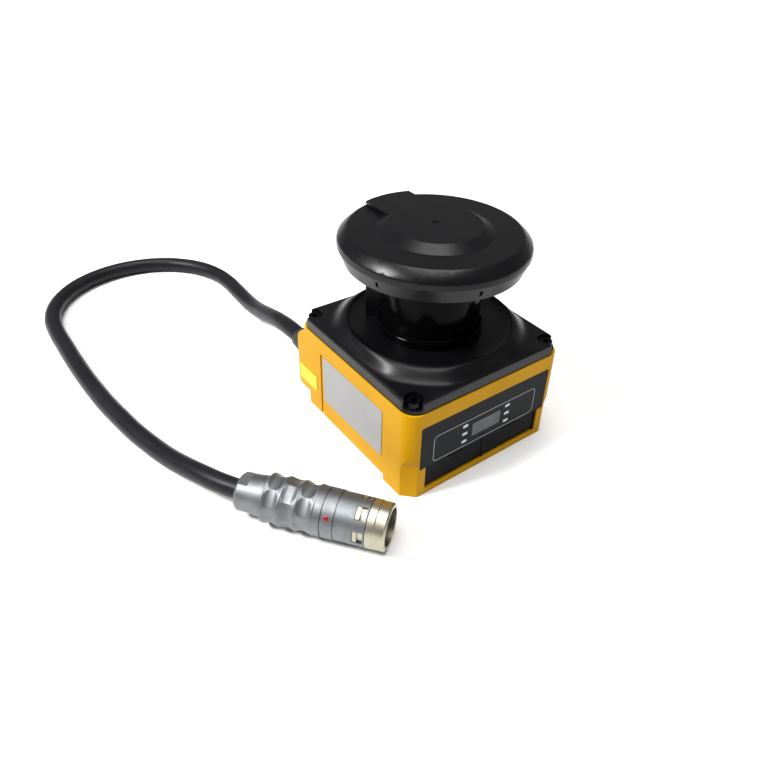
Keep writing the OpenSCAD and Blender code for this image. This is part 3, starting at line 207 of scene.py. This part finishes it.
# --- Seals, strain relief and inner lead ---
# The seals are rubber cords pressed into their grooves. The strain relief is a tapered
# rubber sleeve moulded on the cable, which runs on through the gland as the inner lead.
# Moulded rubber: a dull, slightly dusty black that shows almost no highlight.
moulded_rubber = surface("moulded_rubber", "#19191B", "#222225", 0.62, 0.35, 0.02, mottle=6, IOR=1.5)
dress(["base_seal", "cover_seal", "window_seals"], moulded_rubber)
dress(["strain_relief"], moulded_rubber, 0.35)
dress(["inner_lead"], pvc_jacket)

# --- Cover ---
# Injection-moulded black cover with a fine spark-eroded texture. It is square at its
# edge and swells into a round shoulder, which falls away into the dish around the neck.
# All its sizes are in mm, with heights above the floor.
COVER_HALF = 39.5
COVER_CORNER = 6.7
COVER_BOTTOM = 42.0
COVER_TOP = 47.5
EDGE_HIGH = 1.2
EDGE_IN = 0.96
DISH_R = 34.6
DISH_RIM = 52.2
DISH_FLOOR_R = 29.0
DISH_FLOOR = 49.6
SHOULDER_R = 43.0
FOOT_BLEND = 60  # how sharply the shoulder's round foot gives way to the straight edge
HOLE_R = 18.5
UNDER_R = 33.8
UNDER_Z = 47.2
POCKET_AT = 35.0
POCKET_R = 3.7
POCKET_FLOOR = 43.8
POCKET_RUN = 16  # past the corner, so that each pocket is open outward
POCKET_TOP = 60  # above the shoulder
DISH_STEPS = 7
SHOULDER_STEPS = 16
AROUND = 720


def outline(angle, inset):
    """Distance from the middle to the cover's rounded square outline, in mm."""
    half, corner = COVER_HALF - inset, COVER_CORNER - inset
    c, s = abs(math.cos(angle)), abs(math.sin(angle))
    reach = half / max(c, s)
    if reach * min(c, s) <= half - corner:
        return reach
    along = (c + s) * (half - corner)
    return along + math.sqrt(along**2 - 2 * (half - corner) ** 2 + corner**2)


def shoulder(r, edge):
    """Height of the upper surface at distance r from the middle, with the edge that far out."""
    foot = (edge**-FOOT_BLEND + SHOULDER_R**-FOOT_BLEND) ** (-1 / FOOT_BLEND)
    turn = min(1, max(0, (r - DISH_R) / (foot - DISH_R)))
    return COVER_TOP + (DISH_RIM - COVER_TOP) * (0.5 + 0.5 * math.cos(math.pi * turn))


def cover_profile(angle):
    """The cover's closed section at one angle, as distances and heights in mm."""
    points = [(HOLE_R, UNDER_Z), (HOLE_R, DISH_FLOOR - 0.3), (HOLE_R + 0.1, DISH_FLOOR - 0.1),
              (HOLE_R + 0.3, DISH_FLOOR), (DISH_FLOOR_R - 1, DISH_FLOOR)]
    for i in range(DISH_STEPS + 1):
        a = math.radians(84 * i / DISH_STEPS)
        points.append((DISH_FLOOR_R + (DISH_R - DISH_FLOOR_R) * math.sin(a),
                       DISH_FLOOR + (DISH_RIM - DISH_FLOOR) * (1 - math.cos(a))))
    points.append((DISH_R + 0.02, DISH_RIM - 0.1))
    points.append((DISH_R + 0.18, DISH_RIM - 0.02))
    start, end = DISH_R + 0.45, outline(angle, EDGE_IN)
    for i in range(SHOULDER_STEPS + 1):
        r = start + (end - start) * i / SHOULDER_STEPS
        points.append((r, shoulder(r, end)))
    for i in range(1, 7):
        a = math.radians(15 * i)
        points.append((outline(angle, EDGE_IN * (1 - math.sin(a))),
                       COVER_TOP - EDGE_HIGH * (1 - math.cos(a))))
    side = outline(angle, 0)
    points.append((side, COVER_TOP - EDGE_HIGH - 1.6))
    points.append((side, COVER_BOTTOM))
    points += [(UNDER_R, COVER_BOTTOM), (UNDER_R, UNDER_Z)]
    return points


def new_piece(name, mesh, material, body="base"):
    """Puts a mesh, which is in metres in the row frame, on a body with its material."""
    piece = bpy.data.objects.new(name, mesh)
    bpy.context.scene.collection.objects.link(piece)
    mesh.materials.append(material)
    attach(piece, body)
    return piece


def bridge(work, ring, following):
    """Closes the band between two rings of as many points with four-sided faces."""
    for i in range(len(ring)):
        j = (i + 1) % len(ring)
        work.faces.new((ring[i], ring[j], following[j], following[i]))


def finished_mesh(name, work):
    """Turns the faces outward and makes a mesh of them."""
    bmesh.ops.recalc_face_normals(work, faces=work.faces)
    mesh = bpy.data.meshes.new(name)
    work.to_mesh(mesh)
    work.free()
    return mesh


def loft_closed(name, sections):
    """A closed ring of closed sections, each a list of points in mm."""
    work = bmesh.new()
    rings = [[work.verts.new(Vector(p) * MM) for p in section] for section in sections]
    for ring, following in zip(rings, rings[1:] + rings[:1]):
        bridge(work, ring, following)
    return finished_mesh(name, work)


def prism(outline_points, low, high):
    """A straight prism over an outline in X and Y, all in mm, as a new mesh."""
    work = bmesh.new()
    floor = [work.verts.new(Vector((x, y, low)) * MM) for x, y in outline_points]
    roof = [work.verts.new(Vector((x, y, high)) * MM) for x, y in outline_points]
    work.faces.new(floor[::-1])
    work.faces.new(roof)
    bridge(work, floor, roof)
    return finished_mesh("prism", work)


def cut(piece, cutters):
    """Takes the cutters' meshes away from the piece for good."""
    for mesh in cutters:
        tool = bpy.data.objects.new("cutter", mesh)
        bpy.context.scene.collection.objects.link(tool)
        taking = piece.modifiers.new("cut", "BOOLEAN")
        taking.operation = "DIFFERENCE"
        taking.solver = "EXACT"
        taking.object = tool
        bpy.context.view_layer.update()
        result = bpy.data.meshes.new_from_object(
            piece.evaluated_get(bpy.context.evaluated_depsgraph_get()))
        piece.modifiers.clear()
        piece.data = result
        bpy.data.objects.remove(tool)


def soften(piece, edge, angle=32, segments=3):
    """Smooths a built piece's shading and rounds its sharp edges to edge mm."""
    for face in piece.data.polygons:
        face.use_smooth = True
    round_edges(piece, edge, angle, segments)


def pocket_outline(sx, sy):
    """U-shaped pocket that runs out through the cover's corner."""
    out = Vector((sx, sy)).normalized()
    side = Vector((-out.y, out.x))
    middle = Vector((sx, sy)) * POCKET_AT
    points = []
    for i in range(25):
        a = math.radians(90 + 180 * i / 24)
        points.append(middle + POCKET_R * (math.cos(a) * out + math.sin(a) * side))
    end = middle + POCKET_RUN * out
    return points + [end - POCKET_R * side, end + POCKET_R * side]


# ABS with a spark-eroded mould texture: a dense grain that spreads highlights into a soft
# sheen, and a slightly greyer bloom where it has been handled. The real grain is about
# 0.05 mm across, and is drawn at 0.28 mm so that it shows.
spark_abs = surface(
    "spark_textured_abs", "#0A0A0C", "#0D0D0F", 0.31, 0.28, 0.012, mottle=20,
    **{"Specular IOR Level": 0.2})
sections = []
for i in range(AROUND):
    angle = 2 * math.pi * (i + 0.5) / AROUND
    sections.append([(r * math.cos(angle), r * math.sin(angle), z) for r, z in cover_profile(angle)])
cover = new_piece("moulded_cover", loft_closed("moulded_cover", sections), spark_abs)
cut(cover, [prism(pocket_outline(sx, sy), POCKET_FLOOR, POCKET_TOP) for sx in (-1, 1) for sy in (-1, 1)])
soften(cover, 0.22)
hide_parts("top_cover")

# --- Cover screws ---
# Four M3 socket-head screws hold the cover down, each sunk into a corner pocket. They are
# alloy steel, blackened in a hot oxide bath and oiled.
# Black oxide: near black metal with a thin oily sheen on its edges.
black_oxide = surface(
    "black_oxide_steel", "#1B1C1F", "#26272B", 0.34, 0.25, 0.01, mottle=3, Metallic=1.0)
dress(["cover_screws"], black_oxide, 0.15)

# --- Window and spine ---
# The window is one round moulding of polycarbonate that lets only infrared through. The
# spine behind it is a moulded post of the cover's plastic, which carries the head.
# Polished polycarbonate: a deep black gloss with sharp, dim reflections and a slow wave.
gloss_pc = surface(
    "polished_polycarbonate", "#040405", "#050506", 0.12, 6.0, 0.004, mottle=30, smudge=0.02,
    **{"Specular IOR Level": 0.04})
dress(["optical_window"], gloss_pc)
dress(["window_spine"], spark_abs, 0.4)

# --- Cap ---
# Two moulded shells screwed together from below: a flaring lower shell with narrow slots
# and a bevelled upper shell with a raised disc and a tab. They have the cover's texture.
dress(["head_shell"], spark_abs, 0.2)
dress(["head_cap"], spark_abs, 0.3)

# --- Front panel ---
# A dark moulding clipped into the front of the housing. A printed film is glued on it,
# with a clear window over the display and six milky light pipes.
# Dark textured ABS: the bezel's slate grey, matt, with a coarser grain than the cover's.
slate_abs = surface(
    "dark_textured_abs", "#0A0B0D", "#0E0F11", 0.5, 0.3, 0.03, mottle=15, **{"Specular IOR Level": 0.08})
dress(["front_bezel"], slate_abs, 0.2)
# Printed polyester film: a smooth satin slate with the fine tooth of its hard coat.
film = surface(
    "printed_polyester_film", "#0E1113", "#121416", 0.34, 0.2, 0.004, mottle=20,
    **{"Specular IOR Level": 0.06})
dress(["panel_overlay"], film)
# Clear acrylic over a display that is off: dark grey, with a thin gloss of its own.
clear_window = surface(
    "clear_acrylic", "#2C3033", "#3C4145", 0.12, 5, 0.002, mottle=7, smudge=0.03, IOR=1.4)
dress(["display_window"], clear_window)
# Milky acrylic: a soft white that looks lit from inside, with rounded edges.
milky = surface("milky_acrylic", "#C4C7C9", "#B4B7BA", 0.25, 1.0, 0.004, mottle=2, smudge=0.05, IOR=1.49)
dress(["indicator_light_pipes"], milky, 0.1)

# --- Printed frame ---
# A line screen-printed on the film around the display and lights, with round corners. The
# dried ink stands a little proud of the film. All its sizes are in mm.
LINE_Y = -39.83
LINE_T = 0.025
LINE_W = 0.35
FRAME_HALF_W = 27.7
FRAME_LOW = 15.0
FRAME_HIGH = 28.1
FRAME_CORNER = 2.0


def frame_line(half_w, low, high, corner, width):
    """Two matching rounded outlines in X and Z, one inside the other by the line's width."""
    loops = []
    for grow in (0, -width):
        points = []
        for cx, cz, start in ((1, 1, 0), (-1, 1, 90), (-1, -1, 180), (1, -1, 270)):
            mid_x = cx * (half_w - corner)
            mid_z = (high - corner) if cz > 0 else (low + corner)
            for i in range(7):
                a = math.radians(start + 15 * i)
                reach = corner + grow
                points.append((mid_x + reach * math.cos(a), mid_z + reach * math.sin(a)))
        loops.append(points)
    return loops


outer, inner = frame_line(FRAME_HALF_W, FRAME_LOW, FRAME_HIGH, FRAME_CORNER, LINE_W)
sections = [[(xo, LINE_Y + LINE_T, zo), (xo, LINE_Y, zo), (xi, LINE_Y, zi), (xi, LINE_Y + LINE_T, zi)]
            for (xo, zo), (xi, zi) in zip(outer, inner)]
# Screen ink: a flat light grey with a slightly uneven edge of gloss.
print_ink = surface("screen_ink", "#85898E", "#787C81", 0.4, 0.15, 0.004, mottle=4, IOR=1.5)
printed_frame = new_piece("printed_frame", loft_closed("printed_frame", sections), print_ink)

# --- Port covers ---
# Two moulded flaps under the panel close the ports. Each swings down on a steel pin.
# Satin black ABS: darker and smoother than the bezel, with a low even sheen.
flap_abs = surface(
    "satin_black_abs", "#08090B", "#0C0D0F", 0.42, 0.3, 0.02, mottle=10, **{"Specular IOR Level": 0.05})
dress(["port_cover_left", "port_cover_right"], flap_abs, 0.3)

# --- Plates on the left side ---
# Two blank adhesive plates: a large rating plate of metallised polyester on the side, and
# a small vinyl notice plate on the cable block's flank.
# Silver polyester: an even light grey that is nearly matt, with a slow drift of gloss.
silver_film = surface(
    "silver_polyester", "#8B8B8A", "#868685", 0.5, 0.5, 0.0006, mottle=30, smudge=0.02,
    **{"Specular IOR Level": 0.3})
dress(["rating_plate"], silver_film)
# Yellow vinyl: a greener, brighter yellow than the coat, with a soft film sheen.
yellow_film = surface(
    "yellow_vinyl", "#C4BE0C", "#BCB609", 0.4, 0.4, 0.001, mottle=8, **{"Specular IOR Level": 0.25})
dress(["notice_plate"], yellow_film)

# --- Plug release sleeve ---
# Turned brass plated with satin nickel and bead blasted. Its grip has three rows of milled
# scallops between rings, then two grooves and six latch windows. It slides on the plug's
# body. All its sizes are in mm, counted along the plug's axis from the cable end.
PLUG_AT = Vector((-92.4, -5.6, 9.5))
PLUG_TURN = math.radians(-53.4)
ALONG = Vector((math.cos(PLUG_TURN), math.sin(PLUG_TURN), 0))
SIDE = Vector((math.sin(PLUG_TURN), -math.cos(PLUG_TURN), 0))
SLEEVE_START = 11.2
SLEEVE_END = 51.6
SLEEVE_BORE = 8.2
RING_R = 9.5
GRIP_R = 9.35
FRONT_R = 9.1
ROW_PITCH = 6.5
RING_LEN = 0.9
GRIP_END = 30.7
GROOVES = (34.6, 39.6)
WINDOW_FROM = 47.0
WINDOW_TO = 51.0
WINDOW_HALF = 2.6
MARK_ANGLE = 56
SCALLOP_TURN = 45
SCALLOP_DEPTH = 0.62
ROW_DEPTH = 0.22
GROOVE_LEN = 0.35
GROOVE_LIP = 0.07
GROOVE_R = 8.95
SLEEVE_STEPS = 288


def on_plug(along, radius, degrees):
    """A point on the plug in mm: how far along, how far out, and its angle from the top."""
    a = math.radians(degrees)
    out = Vector((0, 0, 1)) * math.cos(a) + SIDE * math.sin(a)
    return PLUG_AT + ALONG * along + out * radius


def smooth(value):
    """A soft step from 0 to 1."""
    value = min(1, max(0, value))
    return value * value * (3 - 2 * value)


def sleeve_radius(along, degrees):
    """Outer radius of the release sleeve in mm, with its scallops, rings and grooves."""
    radius = GRIP_R if along < GROOVES[1] else FRONT_R
    if along < SLEEVE_START + 0.5:
        radius -= 0.5 - math.sqrt(max(0, 0.25 - (SLEEVE_START + 0.5 - along) ** 2))
    row = (along - SLEEVE_START - RING_LEN) / ROW_PITCH
    if 0 <= row < 3:
        index = int(row)
        place = (row - index) * ROW_PITCH
        if place < ROW_PITCH - RING_LEN:
            across = (place - (ROW_PITCH - RING_LEN) / 2) / ((ROW_PITCH - RING_LEN) / 2)
            half_turn = SCALLOP_TURN / 2
            turn = (degrees - half_turn * (index % 2) + half_turn) % SCALLOP_TURN - half_turn
            sideways = turn / half_turn
            hollow = 1 - across**2 - 0.85 * sideways**2
            radius -= ROW_DEPTH * smooth(1.6 * (1 - abs(across))) + SCALLOP_DEPTH * max(0, hollow)
        else:
            radius = RING_R
    if along < SLEEVE_START + RING_LEN or abs(along - GRIP_END - RING_LEN / 2) < RING_LEN / 2:
        radius = min(RING_R, radius + 0.15)
    for groove in GROOVES:
        if groove <= along <= groove + GROOVE_LEN:
            radius = GROOVE_R
        elif groove - GROOVE_LIP < along < groove + GROOVE_LEN + GROOVE_LIP:
            radius -= 0.03
    return radius


def sleeve_mesh():
    """The sleeve as rings of points, fine where the scallops are, with its bore inside."""
    grip_steps = int((GRIP_END + 1.2 - SLEEVE_START) / 0.2)
    stops = [SLEEVE_START + 0.05 * i for i in range(11)]
    stops += [SLEEVE_START + 0.7 + 0.2 * i for i in range(grip_steps)]
    for groove in GROOVES:
        groove_end = groove + GROOVE_LEN
        stops += [groove - GROOVE_LIP, groove, groove_end, groove_end + GROOVE_LIP]
    stops += [36.2, 38.0, 42.0, 44.5, WINDOW_FROM, WINDOW_TO, SLEEVE_END - 0.15, SLEEVE_END]
    stops = sorted(set(round(stop, 3) for stop in stops))
    sections = []
    for step in range(SLEEVE_STEPS):
        degrees = 360 * step / SLEEVE_STEPS
        section = [on_plug(SLEEVE_START, SLEEVE_BORE, degrees)]
        for stop in stops:
            chamfer = 0.15 if stop == SLEEVE_END else 0
            section.append(on_plug(stop, sleeve_radius(stop, degrees) - chamfer, degrees))
        section.append(on_plug(SLEEVE_END, SLEEVE_BORE, degrees))
        sections.append(section)
    return loft_closed("knurled_sleeve", sections)


def plug_block(low, high, along_from, along_to, half, degrees):
    """A block that stands out from the plug's axis, as a mesh for cutting."""
    work = bmesh.new()
    a = math.radians(degrees)
    out = Vector((0, 0, 1)) * math.cos(a) + SIDE * math.sin(a)
    across = ALONG.cross(out)
    corners = [
        work.verts.new((PLUG_AT + ALONG * s + out * r + across * w) * MM)
        for s in (along_from, along_to) for r in (low, high) for w in (-half, half)
    ]
    for face in ((0, 1, 3, 2), (4, 6, 7, 5), (0, 4, 5, 1), (2, 3, 7, 6), (0, 2, 6, 4), (1, 5, 7, 3)):
        work.faces.new([corners[i] for i in face])
    return finished_mesh("block", work)


# Bead-blasted nickel: a fine matte sparkle over soft, broad reflections. Its real pits are
# under 0.1 mm across, and are drawn at 0.22 mm so that they show.
satin_nickel = surface(
    "bead_blasted_nickel", "#77797B", "#6B6E70", 0.5, 0.22, 0.006, mottle=6, smudge=0.04, Metallic=1.0)
sleeve = new_piece("knurled_sleeve", sleeve_mesh(), satin_nickel, "release_sleeve")
cut(sleeve, [plug_block(7.6, 11, WINDOW_FROM, WINDOW_TO, WINDOW_HALF, MARK_ANGLE + 30 + 60 * k)
             for k in range(6)])
for face in sleeve.data.polygons:
    face.use_smooth = True
sleeve.data.set_sharp_from_angle(angle=math.radians(38))
sleeve_normals = sleeve.modifiers.new("normals", "WEIGHTED_NORMAL")
sleeve_normals.keep_sharp = True
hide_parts("plug_sleeve")

# --- Alignment dot ---
# A drop of red enamel on the sleeve shows how to turn the plug when it goes in. It stands
# slightly proud, with a rounded rim. Each ring below is its radius and its height, in mm.
MARK_AT = 37.1
DOT_RINGS = ((1.0, GRIP_R - 0.3), (1.0, GRIP_R + 0.04), (0.8, GRIP_R + 0.1), (0.45, GRIP_R + 0.13))


def dot_point(radius, height, turn):
    """A point on the dot's ring, wrapped around the sleeve."""
    a = math.radians(turn)
    sideways = math.degrees(radius * math.sin(a) / GRIP_R)
    return on_plug(MARK_AT + radius * math.cos(a), height, MARK_ANGLE + sideways)


work = bmesh.new()
loops = [[work.verts.new(dot_point(radius, height, turn) * MM) for turn in range(0, 360, 10)]
         for radius, height in DOT_RINGS]
for ring, following in zip(loops, loops[1:]):
    bridge(work, ring, following)
work.faces.new(loops[0])
work.faces.new(loops[-1])
# Red enamel: a deep glossy red that holds one small highlight.
enamel = surface("red_enamel", "#8A1212", "#780E0E", 0.25, 0.3, 0.002, mottle=1.5, smudge=0.05, IOR=1.5)
dot = new_piece("alignment_dot", finished_mesh("alignment_dot", work), enamel, "release_sleeve")
soften(dot, 0.03, 40, 2)

# --- Plug nut, body and contacts ---
# The nut clamps the cable and the body carries the latches and the nose; both are turned
# and plated brass. The contacts sit in a moulded insert inside the nose.
dress(["plug_nut"], satin_nickel, 0.12, 26)
# Polished nickel: warmer and clearer than the blasted sleeve, with faint turning haze.
nose_nickel = surface(
    "polished_nickel", "#ABA694", "#9C9786", 0.38, 0.2, 0.004, mottle=5, smudge=0.04, Metallic=1.0)
dress(["plug_body"], nose_nickel, 0.12)
# Glass-filled nylon: a dry charcoal black, faintly cloudy from the fibres.
insert = surface("glass_filled_nylon", "#232326", "#2B2B2E", 0.55, 0.3, 0.02, mottle=4, IOR=1.53)
dress(["plug_contacts"], insert, 0.08)

# --- Cable gland ---
# A moulded gland through the cable block's wall, with a hexagonal nut outside and another
# inside. It grips the cable's jacket and seals the hole.
# Moulded nylon: a satin black with a slightly waxy look.
nylon = surface("moulded_nylon", "#1C1C1F", "#232327", 0.5, 0.4, 0.02, mottle=6, IOR=1.53)
dress(["cable_gland"], nylon, 0.3)

# --- Circuit boards and their parts ---
# Glass-epoxy boards under a green solder mask, with a metal data port, a nylon four-pin
# header, the lights and the display. They stand on standoffs and are screwed down.
# Solder mask: a glossy mid green, uneven where copper runs below it.
solder_mask = surface("solder_mask", "#17502F", "#1C5C37", 0.3, 0.4, 0.01, mottle=6, IOR=1.5)
dress(["front_board", "motor_board", "receiver_board", "main_board"], solder_mask)
dress(["config_port"], zinc_plate, 0.1)
# Natural nylon: a translucent cream that yellows slightly in patches.
white_nylon = surface("natural_nylon", "#E6E2D6", "#D9D4C5", 0.45, 0.4, 0.01, mottle=5, IOR=1.53)
dress(["service_port", "status_leds"], white_nylon)
dress(["display_module", "encoder_sensor"], insert)

# --- Motor ---
# An outer-rotor motor inside the cap: turned plate and cup, a stack of steel laminations
# with a coil on each tooth, ring magnets in the cup, and a shaft in two ball bearings.
# Turned aluminium: bright and slightly streaky, clearer than the tumbled plate.
turned = surface("turned_aluminium", "#A6A9AD", "#94979B", 0.3, 0.25, 0.008, mottle=6, Metallic=1.0)
dress(["motor_plate", "rotor_cup"], turned, 0.15)
dress(["spindle_bearings", "rotor_shaft", "encoder_disc", "stator_core"], zinc_plate)
# Enamelled copper: orange-brown wire with the wet look of its varnish.
copper = surface("enamelled_copper", "#B06A34", "#9A5624", 0.3, 0.3, 0.04, mottle=2, Metallic=1.0)
dress(["stator_coils"], copper)
dress(["rotor_magnets"], black_oxide)

# --- Mirror and optics ---
# A tilted glass mirror on a moulded carrier hangs from the shaft inside the window. Below
# it are the lens in its moulded barrel and the laser in a brass shell in the lens's
# middle. A flexible board runs up the spine to the motor.
dress(["mirror_carrier", "lens_barrel"], insert)
# Silvered glass: a nearly perfect mirror with a trace of haze.
silvered = surface("silvered_glass", "#E2E6EA", "#DCE1E6", 0.03, 4, 0.001, mottle=20, smudge=0.01,
                   Metallic=1.0)
dress(["scan_mirror"], silvered)
# Coated glass: dark blue-violet from its anti-reflection coating, very glossy.
lens_glass = surface("coated_glass", "#3C4A66", "#46506E", 0.05, 4, 0.001, mottle=20, smudge=0.01,
                     IOR=1.52)
dress(["receiving_lens"], lens_glass)
# Turned brass: yellow metal, a little browner where it has been touched.
brass = surface("turned_brass", "#B7964A", "#A3823A", 0.3, 0.25, 0.008, mottle=4, Metallic=1.0)
dress(["laser_module", "board_standoffs"], brass)
# Polyimide film: clear amber, smooth, with a high gloss.
polyimide = surface("polyimide_film", "#B9732C", "#A96724", 0.3, 0.4, 0.004, mottle=6, IOR=1.7)
dress(["head_flex"], polyimide)

# --- Floor ---
# A sheet of pale matt paper that runs on to a far horizon, so that it fills the view
# behind the scanner without an edge.
FLOOR_HALF = 40  # metres
scene = bpy.context.scene
scene.view_settings.view_transform = "Standard"
floor_mesh = bpy.data.meshes.new("floor")
floor_corners = [(x * FLOOR_HALF, y * FLOOR_HALF, 0) for x, y in ((-1, -1), (1, -1), (1, 1), (-1, 1))]
floor_mesh.from_pydata(floor_corners, [], [(0, 1, 2, 3)])
# Pale paper: a matt near white with a fibre tooth a millimetre across.
floor_paper = surface("pale_paper", "#F4F4F4", "#F1F1F1", 0.85, 1.0, 0.01, mottle=200)
floor_mesh.materials.append(floor_paper)
floor = bpy.data.objects.new("floor", floor_mesh)
scene.collection.objects.link(floor)


# --- Lights ---
# A small softbox at the upper left and behind gives the highlights on the cap's bevel and
# the window. A wide sun straight overhead and a dim white room keep the paper pale.
def softbox(name, at, aim, size, power):
    """A square area light in metres and watts, turned toward a point."""
    lamp = bpy.data.lights.new(name, "AREA")
    lamp.size = size
    lamp.energy = power
    light = bpy.data.objects.new(name, lamp)
    scene.collection.objects.link(light)
    light.location = at
    light.rotation_euler = (Vector(aim) - Vector(at)).to_track_quat("-Z", "Y").to_euler()


softbox("key", (-0.62, 0.18, 0.68), (0, 0, 0.06), 0.2, 12)
overhead = bpy.data.lights.new("overhead", "SUN")
overhead.energy = 2.9
overhead.angle = math.radians(40)
overhead_light = bpy.data.objects.new("overhead", overhead)
scene.collection.objects.link(overhead_light)
room = bpy.data.worlds.new("room")
room.use_nodes = True
room.node_tree.nodes["Background"].inputs["Color"].default_value = (1, 1, 1, 1)
room.node_tree.nodes["Background"].inputs["Strength"].default_value = 0.22
scene.world = room
